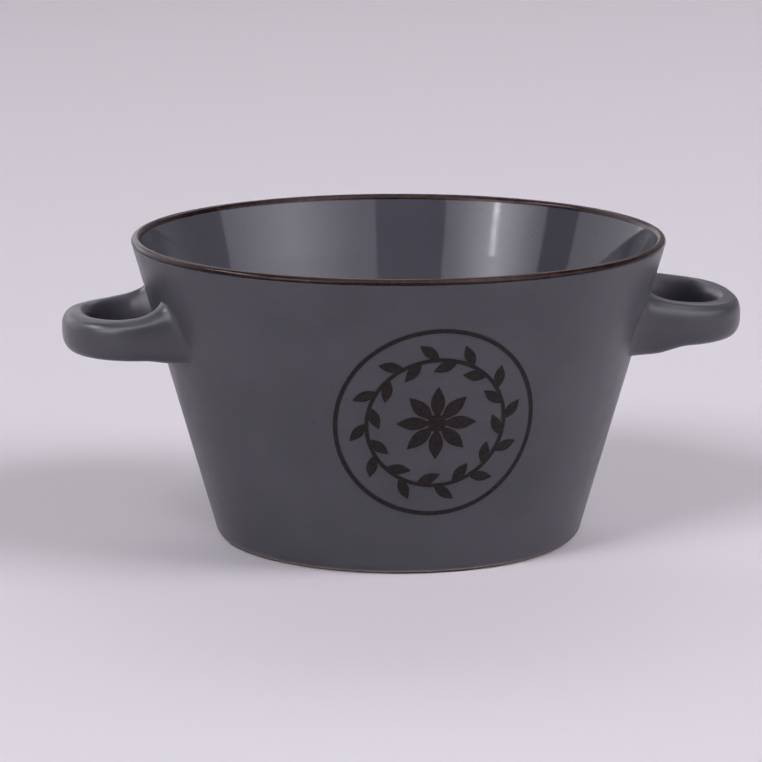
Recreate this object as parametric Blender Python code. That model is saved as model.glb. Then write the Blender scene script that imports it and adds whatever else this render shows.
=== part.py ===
"""Handled soup bowl: a stoneware body with its glazes, lip band, two ear handles and a printed badge.

Metres, +Z up. The bowl stands on z = 0 with its axis on Z, its handles on X and its badge facing -Y.
"""

import math
from collections import namedtuple

import bmesh
import bpy
from mathutils import Matrix, Vector

# Bowl sizes
BOWL_HEIGHT = 0.0800
RIM_RADIUS = 0.0700  # at the widest point of the lip
BASE_RADIUS = 0.0477  # where the line of the outer wall meets the table
LIP_THICKNESS = 0.0023
WALL_THICKNESS = 0.0048  # at the foot of the wall, from which it thins to the lip
FLOOR_HEIGHT = 0.0065  # top of the floor above the table
FLOOR_FILLET = 0.0100  # between floor and wall, inside
CORNER_RADIUS = 0.0035  # between wall and foot, outside
FOOT_WIDTH = 0.0050  # of the flat ring that the bowl stands on
RECESS_DEPTH = 0.0012  # of the hollow inside the foot ring

# Coats and fits
GLAZE_THICKNESS = 0.00035
INK_THICKNESS = 0.0003
CLEARANCE = 0.0003  # between pieces that touch on the real bowl
FOOT_LINE = 0.0009  # height at which the outer glaze stops above the bare foot

# Handle sizes
LEFT_DROP = 0.0231  # from the lip down to the middle of the handle
RIGHT_DROP = 0.0224
LEFT_PROJECTION = 0.0251  # from the wall at that height to the tip
RIGHT_PROJECTION = 0.0266
LEFT_HALF_SPAN = 0.0205  # from the middle of the loop to the centre line of a leg
RIGHT_HALF_SPAN = 0.0228
HANDLE_ROOT_PINCH = 0.0024  # by which the legs close in at the wall
LOOP_SQUARENESS = 2.5  # exponent of the loop: 2 is an ellipse, more is squarer
HANDLE_HEIGHT = 0.0103
HANDLE_THICKNESS = 0.0058
SECTION_SQUARENESS = 2.6  # exponent of the upright section

# Slip that joins the handles to the wall
SLIP_FILM = 0.0008  # under the end of a handle
SLIP_EDGE = 0.0003  # thickness where the fillet ends on the handle
SLIP_LENGTH = 0.0150  # along the handle, from the wall
LEFT_SLIP_RISE = 0.0040  # flare at the wall, above the handle
RIGHT_SLIP_RISE = 0.0034
LEFT_SLIP_SINK = 0.0010  # below it
RIGHT_SLIP_SINK = 0.0018
SLIP_SPREAD = 0.0026  # on either side of it

# Badge sizes
BADGE_RISE = 0.0018  # of its centre above the middle of the wall
BADGE_RADIUS = 0.0262
BORDER_WIDTH = 0.0011
WREATH_GAP = 0.0034  # clear ring on either side of the wreath
STEM_WIDTH = 0.0010
LEAF_COUNT = 12  # on each side of the stem
LEAF_LENGTH = 0.0066
LEAF_WIDTH = 0.0028
LEAF_SLANT = math.radians(52)  # from the outward direction
PETAL_COUNT = 8
PETAL_WIDTH = 0.0036
PETAL_START = 0.0014  # from the centre of the rosette
EYE_RADIUS = 0.0024

# Fineness of the meshes
SEGMENTS = 64
LIP_STEPS = 5
FLOOR_STEPS = 5
CORNER_STEPS = 3
HANDLE_STEPS = 24
HANDLE_SIDES = 16
SLIP_STEPS = 5
LEAF_STEPS = 4
BADGE_SEGMENTS = 48
SMOOTH_ANGLE = math.radians(40)
MERGE_DISTANCE = 0.000001

# Worked out from the sizes above
SEAT_DEPTH = GLAZE_THICKNESS + CLEARANCE  # of the clay below a glazed surface
LIP_RADIUS = LIP_THICKNESS / 2
LIP_CENTRE = Vector((RIM_RADIUS - LIP_RADIUS, BOWL_HEIGHT - LIP_RADIUS))
DOWN = -math.pi / 2


def lean_from(foot_radius, side):
    """Angle from upright of a wall that starts at a radius on the table and touches the lip's round."""
    across = LIP_CENTRE.x - foot_radius
    to_lip = math.hypot(across, LIP_CENTRE.y)
    return math.atan2(across, LIP_CENTRE.y) + side * math.asin(LIP_RADIUS / to_lip)


OUTER_LEAN = lean_from(BASE_RADIUS, 1)
INNER_FOOT = BASE_RADIUS - WALL_THICKNESS / math.cos(OUTER_LEAN)
INNER_LEAN = lean_from(INNER_FOOT, -1)
CORNER_INSET = CORNER_RADIUS * math.tan((math.pi / 2 - OUTER_LEAN) / 2)
CORNER_CENTRE = Vector((BASE_RADIUS - CORNER_INSET, CORNER_RADIUS))
FLOOR_CENTRE_HEIGHT = FLOOR_HEIGHT + FLOOR_FILLET
INNER_RADIUS_THERE = INNER_FOOT + FLOOR_CENTRE_HEIGHT * math.tan(INNER_LEAN)
FLOOR_CENTRE = Vector((INNER_RADIUS_THERE - FLOOR_FILLET / math.cos(INNER_LEAN), FLOOR_CENTRE_HEIGHT))
FOOT_LINE_ANGLE = math.asin(FOOT_LINE / CORNER_RADIUS - 1)
FOOT_INNER_RADIUS = CORNER_CENTRE.x - FOOT_WIDTH
CEILING = RECESS_DEPTH + SEAT_DEPTH  # clay above the recess
BADGE_HEIGHT = BOWL_HEIGHT / 2 + BADGE_RISE
BADGE_FRONT = 2 * (CLEARANCE + INK_THICKNESS)  # of the flat outlines, clear of the ink's face
LEAF_REACH = LEAF_LENGTH * math.cos(LEAF_SLANT)
STEM_RADIUS = BADGE_RADIUS - BORDER_WIDTH - WREATH_GAP - LEAF_REACH
PETAL_LENGTH = STEM_RADIUS - LEAF_REACH - WREATH_GAP - PETAL_START

Hand = namedtuple("Hand", "facing height projection half_span slip_rise slip_sink")
LEFT_HEIGHT = BOWL_HEIGHT - LEFT_DROP
RIGHT_HEIGHT = BOWL_HEIGHT - RIGHT_DROP
LEFT = Hand(-1, LEFT_HEIGHT, LEFT_PROJECTION, LEFT_HALF_SPAN, LEFT_SLIP_RISE, LEFT_SLIP_SINK)
RIGHT = Hand(1, RIGHT_HEIGHT, RIGHT_PROJECTION, RIGHT_HALF_SPAN, RIGHT_SLIP_RISE, RIGHT_SLIP_SINK)


def wall_radius(height, depth=0.0):
    """Radius of the outer wall at a height, and a depth below its finished face."""
    return BASE_RADIUS + height * math.tan(OUTER_LEAN) - depth / math.cos(OUTER_LEAN)


def arc(centre, radius, start, end, steps):
    angles = [start + (end - start) * step / steps for step in range(steps + 1)]
    return [centre + radius * Vector((math.cos(angle), math.sin(angle))) for angle in angles]


def lip_arc(depth):
    """From the inner wall over the lip to the outer wall."""
    return arc(LIP_CENTRE, LIP_RADIUS - depth, math.pi - INNER_LEAN, -OUTER_LEAN, LIP_STEPS)


def floor_arc(depth):
    """From the floor up to the inner wall."""
    return arc(FLOOR_CENTRE, FLOOR_FILLET + depth, DOWN, -INNER_LEAN, FLOOR_STEPS)


def corner_arc(depth, start, end):
    return arc(CORNER_CENTRE, CORNER_RADIUS - depth, start, end, CORNER_STEPS)


def clear_scene():
    for obj in list(bpy.data.objects):
        bpy.data.objects.remove(obj, do_unlink=True)


def make_material(name, colour, roughness):
    material = bpy.data.materials.new(name)
    material.use_nodes = True
    shader = material.node_tree.nodes["Principled BSDF"]
    shader.inputs["Base Color"].default_value = (*colour, 1.0)
    shader.inputs["Roughness"].default_value = roughness
    shader.inputs["Metallic"].default_value = 0.0
    return material


def make_object(name, bm, material=None):
    """Turns a bmesh into a scene object with its faces pointing out. One with no material is a helper."""
    bmesh.ops.recalc_face_normals(bm, faces=bm.faces)
    mesh = bpy.data.meshes.new(name)
    bm.to_mesh(mesh)
    bm.free()
    mesh.shade_smooth()
    mesh.set_sharp_from_angle(angle=SMOOTH_ANGLE)
    obj = bpy.data.objects.new(name, mesh)
    bpy.context.scene.collection.objects.link(obj)
    if material:
        mesh.materials.append(material)
    else:
        obj.hide_render = True
        obj.display_type = "WIRE"
    return obj


def boolean(obj, other, operation):
    modifier = obj.modifiers.new(f"{operation.lower()} {other.name}", "BOOLEAN")
    modifier.operation = operation
    modifier.solver = "EXACT"
    modifier.use_self = operation == "INTERSECT"
    modifier.object = other


def revolve(name, profile, material=None, closed=False):
    """Spins a profile of (radius, height) points round Z. An open one starts and ends on the axis."""
    bm = bmesh.new()
    points = [bm.verts.new((point[0], 0.0, point[1])) for point in profile]
    edges = [bm.edges.new(pair) for pair in zip(points, points[1:])]
    if closed:
        edges.append(bm.edges.new((points[-1], points[0])))
    bmesh.ops.spin(
        bm,
        geom=points + edges,
        cent=(0.0, 0.0, 0.0),
        axis=(0.0, 0.0, 1.0),
        angle=2 * math.pi,
        steps=SEGMENTS,
        use_merge=True,
    )
    bmesh.ops.remove_doubles(bm, verts=bm.verts, dist=MERGE_DISTANCE)
    return make_object(name, bm, material)


def make_body(material):
    profile = [(0.0, FLOOR_HEIGHT - SEAT_DEPTH)]
    profile += floor_arc(SEAT_DEPTH)
    profile += lip_arc(SEAT_DEPTH)
    profile += corner_arc(SEAT_DEPTH, -OUTER_LEAN, FOOT_LINE_ANGLE)
    profile += corner_arc(0.0, FOOT_LINE_ANGLE, DOWN)
    profile += [(FOOT_INNER_RADIUS, 0.0), (FOOT_INNER_RADIUS, CEILING), (0.0, CEILING)]
    return revolve("bowl_body", profile, material)


def make_inner_glaze(material):
    below_lip = CLEARANCE * Vector((math.sin(INNER_LEAN), math.cos(INNER_LEAN)))
    profile = [(0.0, FLOOR_HEIGHT)]
    profile += floor_arc(0.0)
    profile += [lip_arc(0.0)[0] - below_lip, lip_arc(GLAZE_THICKNESS)[0] - below_lip]
    profile += reversed(floor_arc(GLAZE_THICKNESS))
    profile += [(0.0, FLOOR_HEIGHT - GLAZE_THICKNESS)]
    return revolve("inner_glaze", profile, material)


def make_outer_glaze(material):
    below_lip = CLEARANCE * Vector((math.sin(OUTER_LEAN), math.cos(OUTER_LEAN)))
    lower_edge = FOOT_LINE_ANGLE + CLEARANCE / CORNER_RADIUS
    profile = [lip_arc(GLAZE_THICKNESS)[-1] - below_lip, lip_arc(0.0)[-1] - below_lip]
    profile += corner_arc(0.0, -OUTER_LEAN, lower_edge)
    profile += corner_arc(GLAZE_THICKNESS, lower_edge, -OUTER_LEAN)
    return revolve("outer_glaze", profile, material, closed=True)


def make_base_glaze(material):
    radius = FOOT_INNER_RADIUS - CLEARANCE
    top = RECESS_DEPTH + GLAZE_THICKNESS
    profile = [(0.0, top), (radius, top), (radius, RECESS_DEPTH), (0.0, RECESS_DEPTH)]
    return revolve("base_glaze", profile, material)


def make_rim_band(material):
    profile = lip_arc(0.0) + list(reversed(lip_arc(GLAZE_THICKNESS)))
    return revolve("rim_band", profile, material, closed=True)


def make_wall_cutter(name, depth):
    """A solid cone as wide as the outer wall at a depth. What it cuts then follows the wall."""
    top = (wall_radius(BOWL_HEIGHT, depth), BOWL_HEIGHT)
    bottom = (wall_radius(0.0, depth), 0.0)
    return revolve(name, [(0.0, BOWL_HEIGHT), top, bottom, (0.0, 0.0)])


def leg_point(along, side, hand):
    """Centre of a leg of a handle on +X, from its root at the wall (along 0) to its tip (along 1)."""
    root_span = hand.half_span - HANDLE_ROOT_PINCH
    wall = wall_radius(hand.height)
    root = math.sqrt(wall**2 - root_span**2)
    tip = wall + hand.projection - HANDLE_THICKNESS / 2
    span = hand.half_span - HANDLE_ROOT_PINCH * (1 - along) ** 2
    across = span * max(0.0, 1 - along**LOOP_SQUARENESS) ** (1 / LOOP_SQUARENESS)
    return Vector((root + (tip - root) * along, side * across, hand.height))


def inside_wall(root):
    """A point straight behind a handle's root, well inside the wall, where the wall cutter removes it."""
    return root - Vector((2 * WALL_THICKNESS, 0.0, 0.0))


def handle_line(hand):
    """Centre line of a handle from its front root round to its rear one."""
    points = []
    for step in range(HANDLE_STEPS + 1):
        angle = math.pi * (step / HANDLE_STEPS - 0.5)
        along = max(0.0, math.cos(angle)) ** (2 / LOOP_SQUARENESS)
        points.append(leg_point(along, math.copysign(1, angle), hand))
    return [inside_wall(points[0])] + points + [inside_wall(points[-1])]


def squared(value):
    """A coordinate of a unit circle, moved out to a squarer outline."""
    return math.copysign(abs(value) ** (2 / SECTION_SQUARENESS), value)


def add_section(bm, centre, direction, half_thickness, half_height):
    """An upright section across a direction in the level plane."""
    across = Vector((direction.y, -direction.x, 0.0)).normalized()
    up = Vector((0.0, 0.0, 1.0))
    verts = bmesh.ops.create_circle(bm, segments=HANDLE_SIDES, radius=1.0)["verts"]
    for vert in verts:
        width, height = half_thickness * squared(vert.co.x), half_height * squared(vert.co.y)
        vert.co = centre + across * width + up * height
    return verts


def edges_within(verts):
    """The edges between these points, in the order of the points."""
    edges = []
    for vert in verts:
        edges += [edge for edge in vert.link_edges if edge.other_vert(vert) in verts and edge not in edges]
    return edges


def loft(bm, sections):
    """Joins a row of sections into one closed skin."""
    for first, second in zip(sections, sections[1:]):
        bmesh.ops.bridge_loops(bm, edges=edges_within(first) + edges_within(second))
    bm.faces.new(sections[0])
    bm.faces.new(sections[-1])


def make_handle(name, hand, grow=0.0, material=None):
    """A handle on +X with its ends inside the wall, made thicker all round by a distance."""
    bm = bmesh.new()
    line = handle_line(hand)
    sections = []
    for before, centre, after in zip([line[0]] + line, line, line[1:] + [line[-1]]):
        sections.append(
            add_section(bm, centre, after - before, HANDLE_THICKNESS / 2 + grow, HANDLE_HEIGHT / 2 + grow)
        )
    loft(bm, sections)
    return make_object(name, bm, material)


def make_slip_fillet(name, hand, side, grow=0.0, material=None):
    """The flared collar of slip round a root of a handle on +X, solid and with its end inside the wall."""
    bm = bmesh.new()
    reach = leg_point(1, side, hand).x - leg_point(0, side, hand).x
    edge = CLEARANCE + SLIP_EDGE + grow
    outs = [SLIP_LENGTH * step / SLIP_STEPS for step in range(SLIP_STEPS + 1)]
    points = [leg_point(out / reach, side, hand) for out in outs]
    points.insert(0, inside_wall(points[0]))
    outs.insert(0, 0.0)
    sections = []
    for before, centre, after, out in zip([points[0]] + points, points, points[1:] + [points[-1]], outs):
        fade = (1 - out / SLIP_LENGTH) ** 2
        lift = Vector((0.0, 0.0, fade * (hand.slip_rise - hand.slip_sink) / 2))
        half_thickness = HANDLE_THICKNESS / 2 + edge + fade * SLIP_SPREAD
        half_height = HANDLE_HEIGHT / 2 + edge + fade * (hand.slip_rise + hand.slip_sink) / 2
        sections.append(add_section(bm, centre + lift, after - before, half_thickness, half_height))
    loft(bm, sections)
    return make_object(name, bm, material)


def make_wall_cutters():
    """Where a handle, its socket in the slip and the slip itself end, from the outermost inwards."""
    slip_depth = SEAT_DEPTH - CLEARANCE
    socket_depth = slip_depth - SLIP_FILM
    return {
        "slip": make_wall_cutter("slip_seat_cutter", slip_depth),
        "socket": make_wall_cutter("socket_end_cutter", socket_depth),
        "handle": make_wall_cutter("handle_end_cutter", socket_depth - CLEARANCE),
    }


def make_handle_set(name, hand, cutters, outer_glaze, finishes):
    """One handle, facing +X or -X, with the two slip fillets that join it to the wall."""
    handle = make_handle(f"{name}_handle", hand, material=finishes["handle"])
    boolean(handle, cutters["handle"], "DIFFERENCE")
    socket = make_handle(f"{name}_socket_cutter", hand, grow=CLEARANCE)
    boolean(socket, cutters["socket"], "DIFFERENCE")
    pieces = [handle, socket]
    for place, side in (("front", -hand.facing), ("rear", hand.facing)):
        root = f"{name}_{place}"
        fillet = make_slip_fillet(f"{root}_slip_fillet", hand, side, material=finishes["slip"])
        boolean(fillet, cutters["slip"], "DIFFERENCE")
        boolean(fillet, socket, "DIFFERENCE")
        window = make_slip_fillet(f"{root}_window_cutter", hand, side, grow=CLEARANCE)
        boolean(outer_glaze, window, "DIFFERENCE")
        pieces += [fillet, window]
    for piece in pieces:
        piece.rotation_euler.z = 0.0 if hand.facing > 0 else math.pi
    return pieces


def extrude_through(bm, faces):
    """Makes flat faces solid, deep enough to reach through the curved wall behind them."""
    depth = BADGE_RADIUS / 2
    sides = bmesh.ops.extrude_face_region(bm, geom=faces)["geom"]
    moved = [item for item in sides if isinstance(item, bmesh.types.BMVert)]
    bmesh.ops.translate(bm, verts=moved, vec=(0.0, 0.0, -depth))


def add_ring(bm, radius, width):
    front = Matrix.Translation((0.0, 0.0, BADGE_FRONT))
    edges = []
    for edge_radius in (radius, radius - width):
        circle = bmesh.ops.create_circle(bm, segments=BADGE_SEGMENTS, radius=edge_radius, matrix=front)
        edges += edges_within(circle["verts"])
    extrude_through(bm, bmesh.ops.bridge_loops(bm, edges=edges)["faces"])


def add_disc(bm, radius):
    front = Matrix.Translation((0.0, 0.0, BADGE_FRONT))
    circle = bmesh.ops.create_circle(bm, segments=BADGE_SEGMENTS // 2, radius=radius, matrix=front)
    extrude_through(bm, [bm.faces.new(circle["verts"])])


def add_leaf(bm, placing, length, width):
    """A leaf from its stalk at the origin along local X, bounded by two equal arcs."""
    front = Vector((0.0, 0.0, BADGE_FRONT))
    outline = []
    for side in (1, -1):
        for step in range(LEAF_STEPS):
            share = step / LEAF_STEPS if side > 0 else 1 - step / LEAF_STEPS
            half_width = side * width / 2 * math.sin(math.pi * share)
            outline.append(bm.verts.new(placing @ Vector((length * share, half_width, 0.0)) + front))
    extrude_through(bm, [bm.faces.new(outline)])


def fill_border(bm):
    add_ring(bm, BADGE_RADIUS, BORDER_WIDTH)


def fill_wreath(bm):
    add_ring(bm, STEM_RADIUS + STEM_WIDTH / 2, STEM_WIDTH)
    for index in range(2 * LEAF_COUNT):
        outward = index % 2 == 0
        turn = Matrix.Rotation(math.pi * index / LEAF_COUNT, 4, "Z")
        slant = Matrix.Rotation(LEAF_SLANT if outward else math.pi - LEAF_SLANT, 4, "Z")
        add_leaf(bm, turn @ Matrix.Translation((STEM_RADIUS, 0.0, 0.0)) @ slant, LEAF_LENGTH, LEAF_WIDTH)


def fill_rosette(bm):
    add_disc(bm, EYE_RADIUS)
    for index in range(PETAL_COUNT):
        turn = Matrix.Rotation(2 * math.pi * index / PETAL_COUNT, 4, "Z")
        add_leaf(bm, turn @ Matrix.Translation((PETAL_START, 0.0, 0.0)), PETAL_LENGTH, PETAL_WIDTH)


def make_badge(material):
    """Ink pieces: flat outlines, narrowed as if bent round the wall, kept only in a thin layer on its face."""
    low = corner_arc(0.0, -OUTER_LEAN, DOWN)[0].y
    high = lip_arc(0.0)[-1].y
    near, far = -CLEARANCE, -CLEARANCE - INK_THICKNESS
    layer = [(wall_radius(high, near), high), (wall_radius(high, far), high)]
    layer += [(wall_radius(low, far), low), (wall_radius(low, near), low)]
    ink_layer = revolve("ink_layer_guide", layer, closed=True)
    wall = wall_radius(BADGE_HEIGHT)
    pieces = []
    for name, fill in (
        ("print_border_ring", fill_border),
        ("print_wreath", fill_wreath),
        ("print_rosette", fill_rosette),
    ):
        bm = bmesh.new()
        fill(bm)
        for vert in bm.verts:
            vert.co.x = wall * math.sin(vert.co.x / wall)
        piece = make_object(name, bm, material)
        piece.location = (0.0, -wall, BADGE_HEIGHT)
        piece.rotation_euler.x = math.pi / 2 + OUTER_LEAN
        boolean(piece, ink_layer, "INTERSECT")
        pieces.append(piece)
    return pieces + [ink_layer]


def main():
    clear_scene()
    clay = make_material("bare stoneware", (0.42, 0.31, 0.25), 0.85)
    gloss_grey = make_material("gloss grey glaze", (0.105, 0.100, 0.120), 0.12)
    satin_grey = make_material("satin grey glaze", (0.070, 0.068, 0.081), 0.42)
    handle_grey = make_material("handle grey glaze", (0.070, 0.068, 0.081), 0.36)
    slip_grey = make_material("glazed slip", (0.070, 0.068, 0.081), 0.38)
    base_grey = make_material("base grey glaze", (0.070, 0.068, 0.081), 0.45)
    brown = make_material("brown lip glaze", (0.024, 0.013, 0.010), 0.22)
    ink = make_material("brown ink", (0.032, 0.022, 0.021), 0.50)

    stand = bpy.data.objects.new("bowl_stand_point", None)
    bpy.context.scene.collection.objects.link(stand)
    outer_glaze = make_outer_glaze(satin_grey)
    pieces = [make_body(clay), make_inner_glaze(gloss_grey), outer_glaze]
    pieces += [make_base_glaze(base_grey), make_rim_band(brown)]
    cutters = make_wall_cutters()
    finishes = {"handle": handle_grey, "slip": slip_grey}
    pieces += make_handle_set("left", LEFT, cutters, outer_glaze, finishes)
    pieces += make_handle_set("right", RIGHT, cutters, outer_glaze, finishes)
    pieces += cutters.values()
    pieces += make_badge(ink)
    for piece in pieces:
        piece.parent = stand


main()
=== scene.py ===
"""Handled soup bowl in grey glazed stoneware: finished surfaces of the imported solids, and a studio.

Metres, +Z up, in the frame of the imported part: the bowl stands on z = 0, its handles lie along X
and its badge faces -Y.
"""

import math
from collections import namedtuple

import bmesh
import bpy
from mathutils import Matrix, Vector, noise


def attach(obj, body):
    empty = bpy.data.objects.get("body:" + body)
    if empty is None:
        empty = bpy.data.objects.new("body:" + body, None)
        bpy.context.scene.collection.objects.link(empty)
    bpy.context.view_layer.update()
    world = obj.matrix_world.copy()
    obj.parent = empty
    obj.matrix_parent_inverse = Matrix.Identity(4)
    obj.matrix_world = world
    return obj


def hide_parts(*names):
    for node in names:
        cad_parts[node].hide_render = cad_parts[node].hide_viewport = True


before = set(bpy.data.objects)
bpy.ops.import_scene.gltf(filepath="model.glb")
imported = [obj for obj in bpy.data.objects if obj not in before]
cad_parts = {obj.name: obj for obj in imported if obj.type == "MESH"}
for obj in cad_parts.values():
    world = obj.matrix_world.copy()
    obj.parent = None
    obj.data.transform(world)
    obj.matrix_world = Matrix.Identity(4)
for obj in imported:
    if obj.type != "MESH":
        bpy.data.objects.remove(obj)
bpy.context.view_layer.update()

# Bowl sizes, as in the solids apart from the last two
BOWL_HEIGHT = 0.0800
RIM_RADIUS = 0.0700
BASE_RADIUS = 0.0477
LIP_THICKNESS = 0.0023
WALL_THICKNESS = 0.0048
FLOOR_HEIGHT = 0.0065
FLOOR_FILLET = 0.0100
CORNER_RADIUS = 0.0035
FOOT_WIDTH = 0.0050
RECESS_DEPTH = 0.0012
GLAZE_THICKNESS = 0.00035
FOOT_LINE = 0.0009
INNER_BOW = 0.0005  # of the inner wall, out from a straight line
UNDER_GLAZE = 0.00005  # by which the clay lies below the back of its glaze

# Brown lip band
BAND_DEPTH_OUTSIDE = 0.0013  # from the crown down to the edge of the brown
BAND_DEPTH_INSIDE = 0.0013
BAND_PROUD = 0.00004  # of the grey glaze that it lies on
BAND_WAVER = 0.00009  # of its edges, up and down
BAND_WAVES = 9.0  # radius of the circle in the noise that the waver is read from

# Handles. The tilt lifts the front leg of the loop and lowers the rear one, and the pinch draws both in at
# the wall. The bar grows inwards at the tip and rises to the wall by a power of the way from the tip. It
# sinks at the wall, fully as far as sink_from of the way out and not at all past sink_to.
Hand = namedtuple(
    "Hand",
    "facing height tilt projection half_span pinch squareness"
    " bar_half tip rise rise_power sink sink_from sink_to",
)
LEFT = Hand(
    facing=-1,
    height=0.05675,
    tilt=0.00020,
    projection=0.0247,
    half_span=0.0211,
    pinch=0.0030,
    squareness=2.35,
    bar_half=0.00515,
    tip=0.0008,
    rise=0.0043,
    rise_power=3.2,
    sink=0.0010,
    sink_from=0.0,
    sink_to=0.35,
)
RIGHT = Hand(
    facing=1,
    height=0.05765,
    tilt=-0.00038,
    projection=0.0270,
    half_span=0.0228,
    pinch=0.0010,
    squareness=2.68,
    bar_half=0.0053,
    tip=0.0,
    rise=0.0034,
    rise_power=2.2,
    sink=0.0018,
    sink_from=0.13,
    sink_to=0.46,
)
HANDS = {"left": LEFT, "right": RIGHT}
BAR_OUTER = 0.0044  # from the crest of the section to its outer side
BAR_INNER = 0.0024  # and to its inner side
BAR_SQUARENESS = 2.6
BAR_TOP = 3.0  # squareness from the crest to the outer side
BAR_SLOPE = 1.8  # and from the crest into the hole
REAR_SLOPE = 1.35  # the same on the rear leg
REAR_EXTRA = 0.0012  # of the rear leg, to its inner side
TIP_POWER = 4  # of the way from the wall, by which the bar grows inwards
HANDLE_EMBED = 0.0017  # of its ends inside the wall

# Smoothed slip round the roots of the handles
ROOT_LENGTH = 0.0125
ROOT_FILLET = 0.0090  # length along the handle in which the flare leaves the wall
ROOT_SPREAD = {"outer": 0.0022, "low_outer": 0.0064, "inner": 0.0010, "top": 0.0004, "bottom": 0.0002}
ROOT_SQUARENESS = 4.0  # of its upper outer corner at the wall
ROOT_PROUD = 0.00003  # of the handle under its end
ROOT_EMBED = 0.0010  # of its edge inside the wall

# Printed badge
BADGE_RISE = 0.0018
BADGE_RADIUS = 0.0262
BORDER_WIDTH = 0.0011
WREATH_GAP = 0.0034
STEM_WIDTH = 0.0010
LEAF_COUNT = 12
LEAF_LENGTH = 0.0066
LEAF_WIDTH = 0.0028
LEAF_SLANT = math.radians(52)
LEAF_BLUNT = 0.005  # share of its length over which each end is blunt
PETAL_COUNT = 8
PETAL_WIDTH = 0.0036
PETAL_START = 0.0014
EYE_RADIUS = 0.0024
EYE_FILL = 0.98  # share of that radius, as the eye is a ring
INK_LIFT = 0.00005
INK_THICKNESS = 0.00008

# Fineness of the meshes
SPIN_STEPS = 192
LIP_STEPS = 16
FLOOR_STEPS = 14
CORNER_STEPS = 10
WALL_STEPS = 24
LOOP_STEPS = 72
SECTION_SIDES = 64
FILLET_STEPS = 16
COLLAR_STEPS = 4
RING_STEPS = 144
LEAF_STEPS = 10
SMOOTH_ANGLE = math.radians(40)
MERGE_DISTANCE = 0.000001

# Worked out from the sizes above
LIP_RADIUS = LIP_THICKNESS / 2
LIP_CENTRE = Vector((RIM_RADIUS - LIP_RADIUS, BOWL_HEIGHT - LIP_RADIUS))
DOWN = -math.pi / 2


def lean_from(foot_radius, side):
    """Angle from upright of a wall that starts at a radius on the table and touches the lip's round."""
    across = LIP_CENTRE.x - foot_radius
    to_lip = math.hypot(across, LIP_CENTRE.y)
    return math.atan2(across, LIP_CENTRE.y) + side * math.asin(LIP_RADIUS / to_lip)


OUTER_LEAN = lean_from(BASE_RADIUS, 1)
INNER_FOOT = BASE_RADIUS - WALL_THICKNESS / math.cos(OUTER_LEAN)
INNER_LEAN = lean_from(INNER_FOOT, -1)
CORNER_INSET = CORNER_RADIUS * math.tan((math.pi / 2 - OUTER_LEAN) / 2)
CORNER_CENTRE = Vector((BASE_RADIUS - CORNER_INSET, CORNER_RADIUS))
FLOOR_CENTRE_HEIGHT = FLOOR_HEIGHT + FLOOR_FILLET
INNER_RADIUS_THERE = INNER_FOOT + FLOOR_CENTRE_HEIGHT * math.tan(INNER_LEAN)
FLOOR_CENTRE = Vector((INNER_RADIUS_THERE - FLOOR_FILLET / math.cos(INNER_LEAN), FLOOR_CENTRE_HEIGHT))
FOOT_LINE_ANGLE = math.asin(FOOT_LINE / CORNER_RADIUS - 1)
FOOT_INNER_RADIUS = CORNER_CENTRE.x - FOOT_WIDTH
CLAY_DEPTH = GLAZE_THICKNESS + UNDER_GLAZE
BAR_SHIFT = (BAR_INNER - BAR_OUTER) / 2  # of the crest from the middle of the bar
BADGE_HEIGHT = BOWL_HEIGHT / 2 + BADGE_RISE
LEAF_REACH = LEAF_LENGTH * math.cos(LEAF_SLANT)
STEM_RADIUS = BADGE_RADIUS - BORDER_WIDTH - WREATH_GAP - LEAF_REACH
PETAL_LENGTH = STEM_RADIUS - LEAF_REACH - WREATH_GAP - PETAL_START

# Camera of the photograph
CAMERA_TURN = math.radians(9.3)  # of the bowl's badge side away from the camera
CAMERA_DISTANCE = 1.0
CAMERA_HEIGHT = 0.2443
CAMERA_PITCH = math.radians(11.515)
CAMERA_YAW = math.radians(0.262)
CAMERA_LENS = 182.34
SENSOR_WIDTH = 36.0


def wall_radius(height, depth=0.0):
    """Radius of the outer wall at a height, and a depth below its finished face."""
    return BASE_RADIUS + height * math.tan(OUTER_LEAN) - depth / math.cos(OUTER_LEAN)


def arc(centre, radius, start, end, steps):
    angles = [start + (end - start) * step / steps for step in range(steps + 1)]
    return [centre + radius * Vector((math.cos(angle), math.sin(angle))) for angle in angles]


def lip_arc(depth, end=-OUTER_LEAN):
    """From the inner wall over the lip to the outer wall, or to another end."""
    return arc(LIP_CENTRE, LIP_RADIUS - depth, math.pi - INNER_LEAN, end, LIP_STEPS)


def floor_arc(depth):
    """From the floor up to the inner wall."""
    return arc(FLOOR_CENTRE, FLOOR_FILLET + depth, DOWN, -INNER_LEAN, FLOOR_STEPS)


def corner_arc(depth, start, end):
    return arc(CORNER_CENTRE, CORNER_RADIUS - depth, start, end, CORNER_STEPS)


def wall_line(first, last, bow=0.0):
    """Points between two others, so that a long wall has faces of a useful length, bowed to its right."""
    sideways = Vector((last.y - first.y, first.x - last.x)).normalized()
    points = []
    for step in range(1, WALL_STEPS):
        share = step / WALL_STEPS
        bulge = 4 * share * (1 - share)  # 1 in the middle, 0 at both ends
        points.append(first.lerp(last, share) + sideways * (bow * bulge))
    return points


def make_piece(name, bm, node, material):
    """Turns a bmesh into a piece that rides on the bowl in place of a solid."""
    bmesh.ops.recalc_face_normals(bm, faces=bm.faces)
    mesh = bpy.data.meshes.new(name)
    bm.to_mesh(mesh)
    bm.free()
    mesh.shade_smooth()
    mesh.set_sharp_from_angle(angle=SMOOTH_ANGLE)
    mesh.materials.append(material)
    piece = bpy.data.objects.new(name, mesh)
    bpy.context.scene.collection.objects.link(piece)
    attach(piece, "root")
    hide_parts(node)


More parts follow.
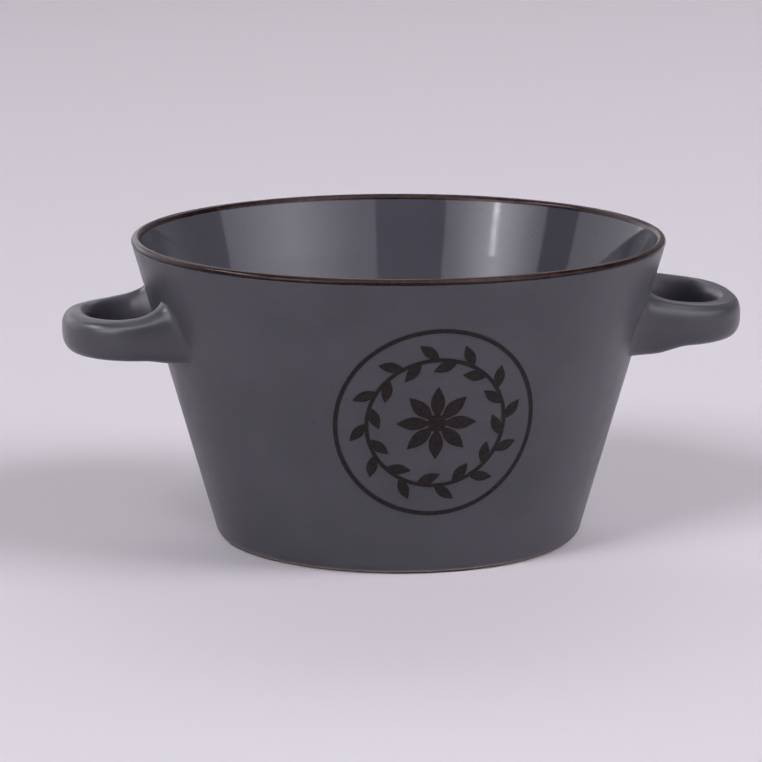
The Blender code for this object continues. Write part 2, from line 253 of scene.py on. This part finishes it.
def spin_profile(profile, closed=False):
    """Spins a profile of (radius, height) points round Z. An open one starts and ends on the axis."""
    bm = bmesh.new()
    points = [bm.verts.new((point[0], 0.0, point[1])) for point in profile]
    edges = [bm.edges.new(pair) for pair in zip(points, points[1:])]
    if closed:
        edges.append(bm.edges.new((points[-1], points[0])))
    bmesh.ops.spin(
        bm,
        geom=points + edges,
        cent=(0.0, 0.0, 0.0),
        axis=(0.0, 0.0, 1.0),
        angle=2 * math.pi,
        steps=SPIN_STEPS,
        use_merge=True,
    )
    bmesh.ops.remove_doubles(bm, verts=bm.verts, dist=MERGE_DISTANCE)
    return bm


def make_body(material):
    ceiling = RECESS_DEPTH + CLAY_DEPTH
    inner = floor_arc(CLAY_DEPTH)
    lip = lip_arc(CLAY_DEPTH)
    corner = corner_arc(CLAY_DEPTH, -OUTER_LEAN, FOOT_LINE_ANGLE)
    profile = [(0.0, FLOOR_HEIGHT - CLAY_DEPTH)] + inner + wall_line(inner[-1], lip[0], INNER_BOW)
    profile += lip + corner + corner_arc(0.0, FOOT_LINE_ANGLE, DOWN)
    profile += [(FOOT_INNER_RADIUS, 0.0), (FOOT_INNER_RADIUS, ceiling), (0.0, ceiling)]
    make_piece("stoneware_body", spin_profile(profile), "bowl_body", material)


def make_inside_glaze(material):
    face = floor_arc(0.0)
    back = floor_arc(GLAZE_THICKNESS)
    top, top_back = lip_arc(0.0)[0], lip_arc(GLAZE_THICKNESS)[0]
    profile = [(0.0, FLOOR_HEIGHT)] + face + wall_line(face[-1], top, INNER_BOW) + [top, top_back]
    profile += list(reversed(back)) + [(0.0, FLOOR_HEIGHT - GLAZE_THICKNESS)]
    make_piece("inside_glaze", spin_profile(profile), "inner_glaze", material)


def make_outside_glaze(material):
    corner = corner_arc(0.0, -OUTER_LEAN, FOOT_LINE_ANGLE)
    lip, lip_back = lip_arc(0.0)[-1], lip_arc(GLAZE_THICKNESS)[-1]
    profile = [lip_back, lip] + wall_line(lip, corner[0]) + corner
    profile += corner_arc(GLAZE_THICKNESS, FOOT_LINE_ANGLE, -OUTER_LEAN)
    bm = spin_profile(profile, closed=True)
    make_piece("outside_glaze", bm, "outer_glaze", material)


def make_underside_glaze(material):
    radius = FOOT_INNER_RADIUS - UNDER_GLAZE
    top = RECESS_DEPTH + GLAZE_THICKNESS
    profile = [(0.0, top), (radius, top), (radius, RECESS_DEPTH), (0.0, RECESS_DEPTH)]
    make_piece("underside_glaze", spin_profile(profile), "base_glaze", material)


def make_lip_band(material):
    """The brown glaze over the lip. Its two edges waver a little, as a band laid on with a brush does."""
    crown = BOWL_HEIGHT
    inside_tangent = lip_arc(0.0)[0]
    along = Vector((math.sin(INNER_LEAN), math.cos(INNER_LEAN)))
    inside_edge = inside_tangent - along * (BAND_DEPTH_INSIDE - (crown - inside_tangent.y)) / along.y
    outside_angle = math.asin((crown - BAND_DEPTH_OUTSIDE - LIP_CENTRE.y) / LIP_RADIUS)
    face = lip_arc(-BAND_PROUD, end=outside_angle)
    back = lip_arc(GLAZE_THICKNESS, end=outside_angle)
    outwards = Vector((-math.cos(INNER_LEAN), math.sin(INNER_LEAN)))
    profile = [inside_edge + outwards * BAND_PROUD] + face + list(reversed(back))
    profile.append(inside_edge - outwards * GLAZE_THICKNESS)
    bm = spin_profile(profile, closed=True)
    for vert in bm.verts:
        drop = (crown - vert.co.z) / BAND_DEPTH_OUTSIDE
        place = Vector((vert.co.x, vert.co.y, 0.0)).normalized() * BAND_WAVES
        vert.co.z += BAND_WAVER * min(1.0, max(0.0, drop)) * noise.noise(place)
    make_piece("lip_band", bm, "rim_band", material)


def leg_point(along, side, hand):
    """Centre of a leg of a handle on +X, from its root at the wall (along 0) to its tip (along 1)."""
    wall = wall_radius(hand.height)
    root = math.sqrt(wall**2 - (hand.half_span - hand.pinch) ** 2)
    tip = wall + hand.projection - (BAR_OUTER + BAR_INNER) / 2
    span = hand.half_span - hand.pinch * (1 - along) ** 2
    across = span * max(0.0, 1 - along**hand.squareness) ** (1 / hand.squareness)
    height = hand.height - hand.tilt * hand.facing * side * across / hand.half_span
    return Vector((root + (tip - root) * along, side * across, height))


def smooth_step(value, low, high):
    share = min(1.0, max(0.0, (value - low) / (high - low)))
    return share * share * (3 - 2 * share)


def squared(value, squareness):
    """A coordinate of a unit circle, moved to an outline that is squarer or more sloping."""
    return math.copysign(abs(value) ** (2 / squareness), value)


def add_section(bm, centre, outwards, along, hand, flare=0.0, proud=0.0):
    """An upright section of a handle, fuller on the outer side and taller towards the wall."""
    rise = hand.rise * (1 - along) ** hand.rise_power
    sink = hand.sink * (1 - smooth_step(along, hand.sink_from, hand.sink_to))
    top = hand.bar_half + rise + flare * ROOT_SPREAD["top"] + proud
    bottom = hand.bar_half + sink + flare * ROOT_SPREAD["bottom"] + proud
    rear = smooth_step(hand.facing * centre.y / hand.half_span, 0.0, 1.0)
    slope = BAR_SLOPE + rear * (REAR_SLOPE - BAR_SLOPE)
    inner = BAR_INNER + hand.tip * along**TIP_POWER + rear * REAR_EXTRA
    inner += flare * ROOT_SPREAD["inner"] + proud
    verts = bmesh.ops.create_circle(bm, segments=SECTION_SIDES, radius=1.0)["verts"]
    for vert in verts:
        squareness = BAR_SQUARENESS
        if vert.co.y > 0:
            squareness = slope if vert.co.x < 0 else BAR_TOP + flare * (ROOT_SQUARENESS - BAR_TOP)
        spread = ROOT_SPREAD["outer"]
        spread += (ROOT_SPREAD["low_outer"] - spread) * (1 - vert.co.y) / 2
        outer = BAR_OUTER + flare * spread + proud
        across = squared(vert.co.x, squareness) * (outer if vert.co.x > 0 else inner)
        lift = squared(vert.co.y, squareness) * (top if vert.co.y > 0 else bottom)
        vert.co = centre + outwards * (BAR_SHIFT + across) + Vector((0.0, 0.0, lift))
    return verts


def outwards_of(direction):
    return Vector((direction.y, -direction.x, 0.0)).normalized()


def ring_edges(verts):
    """The edges between the points of one section, in their order."""
    edges = []
    for vert in verts:
        for edge in vert.link_edges:
            if edge.other_vert(vert) in verts and edge not in edges:
                edges.append(edge)
    return edges


def loft(bm, sections):
    for first, second in zip(sections, sections[1:]):
        bmesh.ops.bridge_loops(bm, edges=ring_edges(first) + ring_edges(second))
    bm.faces.new(sections[0])
    bm.faces.new(sections[-1])


def face_way(bm, hand):
    """Turns what was made on +X round to the side of its handle."""
    turn = Matrix.Rotation(0.0 if hand.facing > 0 else math.pi, 3, "Z")
    bmesh.ops.rotate(bm, verts=bm.verts, cent=(0.0, 0.0, 0.0), matrix=turn)


def on_wall(point, depth):
    """The point moved along X onto the outer wall, on the +X side of the bowl."""
    radius = wall_radius(point.z, depth)
    return Vector((math.sqrt(max(0.0, radius**2 - point.y**2)), point.y, point.z))


def make_handle(name, hand, material):
    """A loop from its front root round to its rear one, with both ends in the wall."""
    alongs, line = [], []
    for step in range(LOOP_STEPS + 1):
        angle = math.pi * (step / LOOP_STEPS - 0.5)
        alongs.append(max(0.0, math.cos(angle)) ** (2 / hand.squareness))
        line.append(leg_point(alongs[-1], math.copysign(1, angle), hand))
    bm = bmesh.new()
    sections = []
    for before, centre, after, along in zip([line[0]] + line, line, line[1:] + [line[-1]], alongs):
        sections.append(add_section(bm, centre, outwards_of(after - before), along, hand))
    for vert in sections[0] + sections[-1]:
        vert.co = on_wall(vert.co, HANDLE_EMBED)
    loft(bm, sections)
    face_way(bm, hand)
    make_piece(f"{name}_ear", bm, f"{name}_handle", material)


def root_stations():
    """How far out along the handle each section of a root stands, and its share of the flare."""
    angles = [math.pi / 2 * step / FILLET_STEPS for step in range(FILLET_STEPS + 1)]
    stations = [(ROOT_FILLET * (1 - math.cos(angle)), 1 - math.sin(angle)) for angle in angles]
    collar = (ROOT_LENGTH - ROOT_FILLET) / COLLAR_STEPS
    return stations + [(ROOT_FILLET + collar * (step + 1), 0.0) for step in range(COLLAR_STEPS)]


def make_root(name, place, hand, material):
    """The smoothed slip round one root: a flare that leaves the wall and runs out along the handle."""
    side = hand.facing * (-1 if place == "front" else 1)
    reach = leg_point(1, side, hand).x - leg_point(0, side, hand).x
    bm = bmesh.new()
    sections = []
    for out, flare in root_stations():
        along = out / reach
        centre = leg_point(along, side, hand)
        direction = leg_point(along + ROOT_LENGTH / reach / COLLAR_STEPS, side, hand) - centre
        section = add_section(bm, centre, outwards_of(direction) * -side, along, hand, flare, ROOT_PROUD)
        for vert in section:
            seated = on_wall(vert.co, 0.0)
            seated.x += out
            vert.co = vert.co.lerp(seated, max(0.0, 1 - out / ROOT_FILLET))
        sections.append(section)
    inner = bmesh.ops.create_circle(bm, segments=SECTION_SIDES, radius=1.0)["verts"]
    for vert, edge_vert in zip(inner, sections[0]):
        vert.co = on_wall(edge_vert.co, ROOT_EMBED)
    loft(bm, [inner] + sections)
    face_way(bm, hand)
    root = f"{name}_{place}"
    make_piece(f"{root}_root", bm, f"{root}_slip_fillet", material)


def wrap_on_wall(bm):
    """Bends what was drawn flat, X along the wall and Y up its slant, round the front of the bowl."""
    for vert in bm.verts:
        height = BADGE_HEIGHT + vert.co.y * math.cos(OUTER_LEAN)
        turn = vert.co.x / wall_radius(height)
        radius = wall_radius(height, -INK_LIFT)
        vert.co = Vector((radius * math.sin(turn), -radius * math.cos(turn), height))


def make_print(name, bm, node, material):
    wrap_on_wall(bm)
    bmesh.ops.recalc_face_normals(bm, faces=bm.faces)
    bmesh.ops.solidify(bm, geom=bm.faces[:], thickness=INK_THICKNESS)
    make_piece(name, bm, node, material)


def add_ring(bm, radius, width):
    edges = []
    for edge_radius in (radius, radius - width):
        circle = bmesh.ops.create_circle(bm, segments=RING_STEPS, radius=edge_radius)["verts"]
        edges += ring_edges(circle)
    bmesh.ops.bridge_loops(bm, edges=edges)


def add_leaf(bm, placing, length, width):
    """A leaf from its stalk at the origin along local X, bounded by two equal arcs."""
    leaf = bmesh.ops.create_grid(bm, x_segments=LEAF_STEPS, y_segments=2, size=0.5)["verts"]
    for vert in leaf:
        share = vert.co.x + 0.5
        half_width = width / 2 * math.sin(math.pi * min(1 - LEAF_BLUNT, max(LEAF_BLUNT, share)))
        vert.co = placing @ Vector((length * share, 2 * vert.co.y * half_width, 0.0))


def make_border_ring(material):
    bm = bmesh.new()
    add_ring(bm, BADGE_RADIUS, BORDER_WIDTH)
    make_print("badge_border", bm, "print_border_ring", material)


def make_wreath(material):
    bm = bmesh.new()
    add_ring(bm, STEM_RADIUS + STEM_WIDTH / 2, STEM_WIDTH)
    for index in range(2 * LEAF_COUNT):
        outward = index % 2 == 0
        turn = Matrix.Rotation(math.pi * index / LEAF_COUNT, 4, "Z")
        slant = Matrix.Rotation(LEAF_SLANT if outward else math.pi - LEAF_SLANT, 4, "Z")
        placing = turn @ Matrix.Translation((STEM_RADIUS, 0.0, 0.0)) @ slant
        add_leaf(bm, placing, LEAF_LENGTH, LEAF_WIDTH)
    make_print("badge_wreath", bm, "print_wreath", material)


def make_rosette(material):
    bm = bmesh.new()
    add_ring(bm, EYE_RADIUS, EYE_RADIUS * EYE_FILL)
    for index in range(PETAL_COUNT):
        turn = Matrix.Rotation(2 * math.pi * index / PETAL_COUNT, 4, "Z")
        add_leaf(bm, turn @ Matrix.Translation((PETAL_START, 0.0, 0.0)), PETAL_LENGTH, PETAL_WIDTH)
    make_print("badge_rosette", bm, "print_rosette", material)


# Finishes. Sizes of grain and depths of bump are in metres. A range is two values of a noise, between which
# the look changes.

GREY_DARK = (0.0570, 0.0554, 0.0648)
GREY_LIGHT = (0.0630, 0.0613, 0.0715)
SATIN_DARK = (0.0785, 0.0768, 0.0885)
SATIN_LIGHT = (0.0860, 0.0842, 0.0967)
GLOSS_DARK = (0.081, 0.079, 0.096)
GLOSS_LIGHT = (0.088, 0.086, 0.105)
Glaze = namedtuple("Glaze", "ior roughness peel dark light")
GREY_GLAZES = {
    "satin": Glaze(ior=1.30, roughness=(0.30, 0.36), peel=0.00002, dark=SATIN_DARK, light=SATIN_LIGHT),
    "handle": Glaze(ior=1.50, roughness=(0.28, 0.33), peel=0.00002, dark=GREY_DARK, light=GREY_LIGHT),
    "gloss": Glaze(ior=1.50, roughness=(0.05, 0.08), peel=0.000004, dark=GLOSS_DARK, light=GLOSS_LIGHT),
    "underside": Glaze(ior=1.45, roughness=(0.42, 0.52), peel=0.00003, dark=GREY_DARK, light=GREY_LIGHT),
}
CLOUD_SIZE = 0.018
CLOUD_RANGE = (0.35, 0.65)
SPECK_SIZE = 0.0005
SPECK_RANGE = (0.66, 0.74)
SPECK_COVER = (0.0, 0.45)
SPECK_COLOUR = (0.036, 0.033, 0.038)
PATCH_SIZE = 0.006  # of smoother and rougher glaze
PATCH_RANGE = (0.3, 0.7)  # also for the other finishes
PEEL_SIZE = 0.0016

BROWN_DARK = (0.010, 0.0042, 0.0036)
BROWN_LIGHT = (0.028, 0.012, 0.0095)
BROWN_SHEEN = (1.0, 0.74, 0.70, 1.0)
BROWN_IOR = 1.35
BROWN_ROUGHNESS = (0.16, 0.24)
BROWN_PATCH_SIZE = 0.004
STREAK_SIZE = 0.0030
STREAK_RANGE = (0.4, 0.7)
BROWN_PEEL_SIZE = 0.0020
BROWN_PEEL = 0.00001

CLAY_DARK = (0.30, 0.23, 0.19)
CLAY_LIGHT = (0.46, 0.38, 0.33)
CLAY_ROUGHNESS = (0.75, 0.90)
CLAY_GRAIN_SIZE = 0.0006
CLAY_GRAIN_RANGE = (0.35, 0.65)
CLAY_GRAIN_DEPTH = 0.00008

INK_DARK = (0.010, 0.0055, 0.0055)
INK_LIGHT = (0.020, 0.0140, 0.0140)
INK_IOR = 1.3
INK_ROUGHNESS = (0.42, 0.52)
INK_PATCH_SIZE = 0.002
INK_COVER_SIZE = 0.0009
INK_COVER_RANGE = (0.35, 0.70)
INK_GRAIN_SIZE = 0.0007
INK_GRAIN_DEPTH = 0.00001

# Sockets of a mix node that mixes colours
MIX_SHARE = 0
MIX_COLOURS = (6, 7)
MIX_RESULT = 2


class Finish:
    """A material with its nodes, and short ways to add and join them."""

    def __init__(self, name):
        self.material = bpy.data.materials.new(name)
        self.material.use_nodes = True
        self.tree = self.material.node_tree
        self.shader = self.tree.nodes["Principled BSDF"]
        self.coords = self.tree.nodes.new("ShaderNodeTexCoord").outputs["Object"]

    def join(self, output, socket):
        self.tree.links.new(output, socket)

    def set(self, **values):
        for socket, value in values.items():
            self.shader.inputs[socket.replace("_", " ")].default_value = value

    def noise(self, size, detail=2.0):
        """Noise whose grains are about this size in metres."""
        node = self.tree.nodes.new("ShaderNodeTexNoise")
        node.inputs["Scale"].default_value = 1.0 / size
        node.inputs["Detail"].default_value = detail
        self.join(self.coords, node.inputs["Vector"])
        return node.outputs["Fac"]

    def ranged(self, value, span, change=(0.0, 1.0)):
        """Changes smoothly from one number to another while the value crosses a span."""
        node = self.tree.nodes.new("ShaderNodeMapRange")
        node.interpolation_type = "SMOOTHSTEP"
        limits = {"From Min": span[0], "From Max": span[1], "To Min": change[0], "To Max": change[1]}
        for socket, limit in limits.items():
            node.inputs[socket].default_value = limit
        self.join(value, node.inputs["Value"])
        return node.outputs["Result"]

    def mix(self, share, first, second):
        """Mixes two colours, each a colour or an output, by an output."""
        node = self.tree.nodes.new("ShaderNodeMix")
        node.data_type = "RGBA"
        for socket, colour in zip(MIX_COLOURS, (first, second)):
            if isinstance(colour, tuple):
                node.inputs[socket].default_value = (*colour, 1.0)
            else:
                self.join(colour, node.inputs[socket])
        self.join(share, node.inputs[MIX_SHARE])
        return node.outputs[MIX_RESULT]

    def colour(self, output):
        self.join(output, self.shader.inputs["Base Color"])

    def roughness(self, output):
        self.join(output, self.shader.inputs["Roughness"])

    def bump(self, output, depth):
        node = self.tree.nodes.new("ShaderNodeBump")
        node.inputs["Distance"].default_value = depth
        self.join(output, node.inputs["Height"])
        self.join(node.outputs["Normal"], self.shader.inputs["Normal"])


def grey_glaze(name, glaze):
    """Grey glaze with slow clouds of tone, fine dark specks and a slight orange peel."""
    finish = Finish(name)
    clouds = finish.ranged(finish.noise(CLOUD_SIZE, detail=3.0), CLOUD_RANGE)
    tone = finish.mix(clouds, glaze.dark, glaze.light)
    specks = finish.ranged(finish.noise(SPECK_SIZE, detail=1.0), SPECK_RANGE, SPECK_COVER)
    finish.colour(finish.mix(specks, tone, SPECK_COLOUR))
    finish.roughness(finish.ranged(finish.noise(PATCH_SIZE), PATCH_RANGE, glaze.roughness))
    finish.bump(finish.noise(PEEL_SIZE, detail=1.0), glaze.peel)
    finish.set(IOR=glaze.ior)
    return finish.material


def brown_glaze():
    finish = Finish("brown lip glaze")
    streaks = finish.ranged(finish.noise(STREAK_SIZE, detail=3.0), STREAK_RANGE)
    finish.colour(finish.mix(streaks, BROWN_DARK, BROWN_LIGHT))
    finish.roughness(finish.ranged(finish.noise(BROWN_PATCH_SIZE), PATCH_RANGE, BROWN_ROUGHNESS))
    finish.bump(finish.noise(BROWN_PEEL_SIZE, detail=1.0), BROWN_PEEL)
    finish.set(IOR=BROWN_IOR, Specular_Tint=BROWN_SHEEN)
    return finish.material


def bare_clay():
    finish = Finish("bare stoneware")
    grain = finish.noise(CLAY_GRAIN_SIZE, detail=4.0)
    finish.colour(finish.mix(finish.ranged(grain, CLAY_GRAIN_RANGE), CLAY_DARK, CLAY_LIGHT))
    finish.roughness(finish.ranged(grain, PATCH_RANGE, CLAY_ROUGHNESS))
    finish.bump(grain, CLAY_GRAIN_DEPTH)
    return finish.material


def brown_ink():
    finish = Finish("brown ink")
    cover = finish.ranged(finish.noise(INK_COVER_SIZE, detail=3.0), INK_COVER_RANGE)
    finish.colour(finish.mix(cover, INK_DARK, INK_LIGHT))
    finish.roughness(finish.ranged(finish.noise(INK_PATCH_SIZE), PATCH_RANGE, INK_ROUGHNESS))
    finish.bump(finish.noise(INK_GRAIN_SIZE), INK_GRAIN_DEPTH)
    finish.set(IOR=INK_IOR)
    return finish.material


# Studio

FLOOR_RADIUS = 6.0
FLOOR_COLOUR = (0.725, 0.70, 0.72)
FLOOR_ROUGHNESS = 0.9
FLOOR_IOR = 1.0  # so that it has no gloss
FLOOR_EDGES = 96
WORLD_FRONT = 0.11  # behind the camera
WORLD_BACK = 0.23
WORLD_TURN = math.radians(16)  # of the pale side, to the left of straight ahead
PALE_FROM = 0.10  # cosine from the middle of the pale side at which it starts
PALE_FULL = 0.36
PALE_FALL = 0.5  # of that cosine from the horizon to overhead
WORLD_TINT = (1.0, 0.97, 1.02)
LIGHT_TINT = (1.0, 0.965, 1.05)

# Each panel faces the bowl. Turn and lift are in degrees, from the camera's side to its right and up from
# the table. Its size is its width and height, and its glow is its radiance at the edge and in the middle.
# Some only show in the gloss of the glazes, and the keys only light the bowl and the table.
SHOWS = "shows"
LIGHTS = "lights"
PANEL_MIDDLE = 0.5  # of the coordinates across a panel, which run from 0 to 1
Panel = namedtuple("Panel", "role turn lift distance size glow falloff", defaults=(1.0,))
PANELS = {
    "left_panel": Panel(
        SHOWS, turn=-50, lift=22.5, distance=2.0, size=(1.80, 1.0), glow=(1.2, 5.8), falloff=1.5
    ),
    "left_lamp": Panel(SHOWS, turn=-49, lift=22.3, distance=2.0, size=(0.18, 0.016), glow=(0.2, 26.0)),
    "right_panel": Panel(
        SHOWS, turn=53, lift=20, distance=2.0, size=(3.1, 1.0), glow=(1.0, 3.3), falloff=1.4
    ),
    "left_back_panel": Panel(SHOWS, turn=-122, lift=20, distance=2.5, size=(2.6, 1.8), glow=(0.80, 0.90)),
    "far_left_panel": Panel(SHOWS, turn=-160, lift=10, distance=3.0, size=(2.2, 0.9), glow=(0.5, 0.9)),
    "left_side_panel": Panel(SHOWS, turn=-85, lift=38, distance=2.5, size=(1.0, 0.6), glow=(7.0, 14.0)),
    "right_side_panel": Panel(SHOWS, turn=60, lift=60, distance=2.5, size=(1.8, 1.0), glow=(1.5, 3.0)),
    "top_panel": Panel(SHOWS, turn=0, lift=89, distance=2.6, size=(2.6, 2.6), glow=(0.7, 1.6)),
    "front_panel": Panel(SHOWS, turn=0, lift=45, distance=2.5, size=(5.0, 0.8), glow=(2.8, 3.8)),
    "left_key": Panel(LIGHTS, turn=-37, lift=43, distance=4.0, size=(1.6, 1.6), glow=(9.3, 13.3)),
    "right_key": Panel(LIGHTS, turn=70, lift=41, distance=4.0, size=(2.0, 2.0), glow=(6.4, 9.4)),
    "back_panel": Panel(SHOWS, turn=180, lift=42, distance=3.0, size=(3.0, 1.2), glow=(1.1, 1.9)),
    "back_key": Panel(LIGHTS, turn=180, lift=42, distance=3.0, size=(3.0, 1.2), glow=(3.4, 5.4)),
}


def make_floor():
    finish = Finish("pale studio floor")
    finish.set(Base_Color=(*FLOOR_COLOUR, 1.0), Roughness=FLOOR_ROUGHNESS, IOR=FLOOR_IOR)
    bm = bmesh.new()
    bmesh.ops.create_circle(bm, cap_ends=True, segments=FLOOR_EDGES, radius=FLOOR_RADIUS)
    mesh = bpy.data.meshes.new("studio_floor")
    bm.to_mesh(mesh)
    bm.free()
    mesh.materials.append(finish.material)
    floor = bpy.data.objects.new("studio_floor", mesh)
    bpy.context.scene.collection.objects.link(floor)


def fade_panel(light, panel):
    """Makes a light panel brightest in its middle."""
    light.use_nodes = True
    tree = light.node_tree
    place = tree.nodes.new("ShaderNodeNewGeometry")
    from_middle = tree.nodes.new("ShaderNodeVectorMath")
    from_middle.operation = "DISTANCE"
    from_middle.inputs[1].default_value = (PANEL_MIDDLE, PANEL_MIDDLE, 0.0)
    nearness = tree.nodes.new("ShaderNodeMapRange")
    nearness.inputs["From Max"].default_value = PANEL_MIDDLE
    nearness.inputs["To Min"].default_value = 1.0
    nearness.inputs["To Max"].default_value = 0.0
    shaped = tree.nodes.new("ShaderNodeMath")
    shaped.operation = "POWER"
    shaped.inputs[1].default_value = panel.falloff
    strength = tree.nodes.new("ShaderNodeMapRange")
    edge, middle = panel.glow
    strength.inputs["To Min"].default_value = edge
    strength.inputs["To Max"].default_value = middle
    tree.links.new(place.outputs["Parametric"], from_middle.inputs[0])
    tree.links.new(from_middle.outputs["Value"], nearness.inputs["Value"])
    tree.links.new(nearness.outputs["Result"], shaped.inputs[0])
    tree.links.new(shaped.outputs["Value"], strength.inputs["Value"])
    tree.links.new(strength.outputs["Result"], tree.nodes["Emission"].inputs["Strength"])


def make_panel(name, panel):
    light = bpy.data.lights.new(name, "AREA")
    light.shape = "RECTANGLE"
    light.size, light.size_y = panel.size
    light.energy = math.pi * light.size * light.size_y
    light.color = LIGHT_TINT
    fade_panel(light, panel)
    lamp = bpy.data.objects.new(name, light)
    heading = math.radians(panel.turn) - CAMERA_TURN
    lift = math.radians(panel.lift)
    level = math.cos(lift)
    away = Vector((level * math.sin(heading), -level * math.cos(heading), math.sin(lift)))
    lamp.location = Vector((0.0, 0.0, BOWL_HEIGHT / 2)) + panel.distance * away
    lamp.rotation_euler = away.to_track_quat("Z", "Y").to_euler()
    lamp.visible_glossy = panel.role == SHOWS
    lamp.visible_diffuse = panel.role == LIGHTS
    bpy.context.scene.collection.objects.link(lamp)


def make_world():
    """Pale beyond the bowl and dim behind the camera."""
    world = bpy.data.worlds.new("studio")
    world.use_nodes = True
    tree = world.node_tree
    coords = tree.nodes.new("ShaderNodeTexCoord")
    away = tree.nodes.new("ShaderNodeVectorMath")
    away.operation = "DOT_PRODUCT"
    heading = CAMERA_TURN - WORLD_TURN
    away.inputs[1].default_value = (math.sin(heading), math.cos(heading), -PALE_FALL)
    strength = tree.nodes.new("ShaderNodeMapRange")
    strength.interpolation_type = "SMOOTHSTEP"
    strength.inputs["From Min"].default_value = PALE_FROM
    strength.inputs["From Max"].default_value = PALE_FULL
    strength.inputs["To Min"].default_value = WORLD_FRONT
    strength.inputs["To Max"].default_value = WORLD_BACK
    tree.links.new(coords.outputs["Generated"], away.inputs[0])
    tree.links.new(away.outputs["Value"], strength.inputs["Value"])
    background = tree.nodes["Background"]
    background.inputs["Color"].default_value = (*WORLD_TINT, 1.0)
    tree.links.new(strength.outputs["Result"], background.inputs["Strength"])
    bpy.context.scene.world = world


def make_camera():
    lens = bpy.data.cameras.new("photo_camera")
    lens.lens = CAMERA_LENS
    lens.sensor_fit = "AUTO"
    lens.sensor_width = SENSOR_WIDTH
    camera = bpy.data.objects.new("photo_camera", lens)
    camera.location = (
        -CAMERA_DISTANCE * math.sin(CAMERA_TURN),
        -CAMERA_DISTANCE * math.cos(CAMERA_TURN),
        CAMERA_HEIGHT,
    )
    camera.rotation_euler = (math.pi / 2 - CAMERA_PITCH, 0.0, CAMERA_YAW - CAMERA_TURN)
    bpy.context.scene.collection.objects.link(camera)
    bpy.context.scene.camera = camera


def make_bowl():
    grey = {name: grey_glaze(f"{name} grey glaze", glaze) for name, glaze in GREY_GLAZES.items()}
    make_body(bare_clay())
    make_inside_glaze(grey["gloss"])
    make_outside_glaze(grey["satin"])
    make_underside_glaze(grey["underside"])
    make_lip_band(brown_glaze())
    for name, hand in HANDS.items():
        make_handle(name, hand, grey["handle"])
        for place in ("front", "rear"):
            make_root(name, place, hand, grey["handle"])
    ink = brown_ink()
    make_border_ring(ink)
    make_wreath(ink)
    make_rosette(ink)


make_camera()
make_bowl()
make_floor()
for panel_name, panel in PANELS.items():
    make_panel(panel_name, panel)
make_world()
bpy.context.scene.view_settings.view_transform = "Standard"
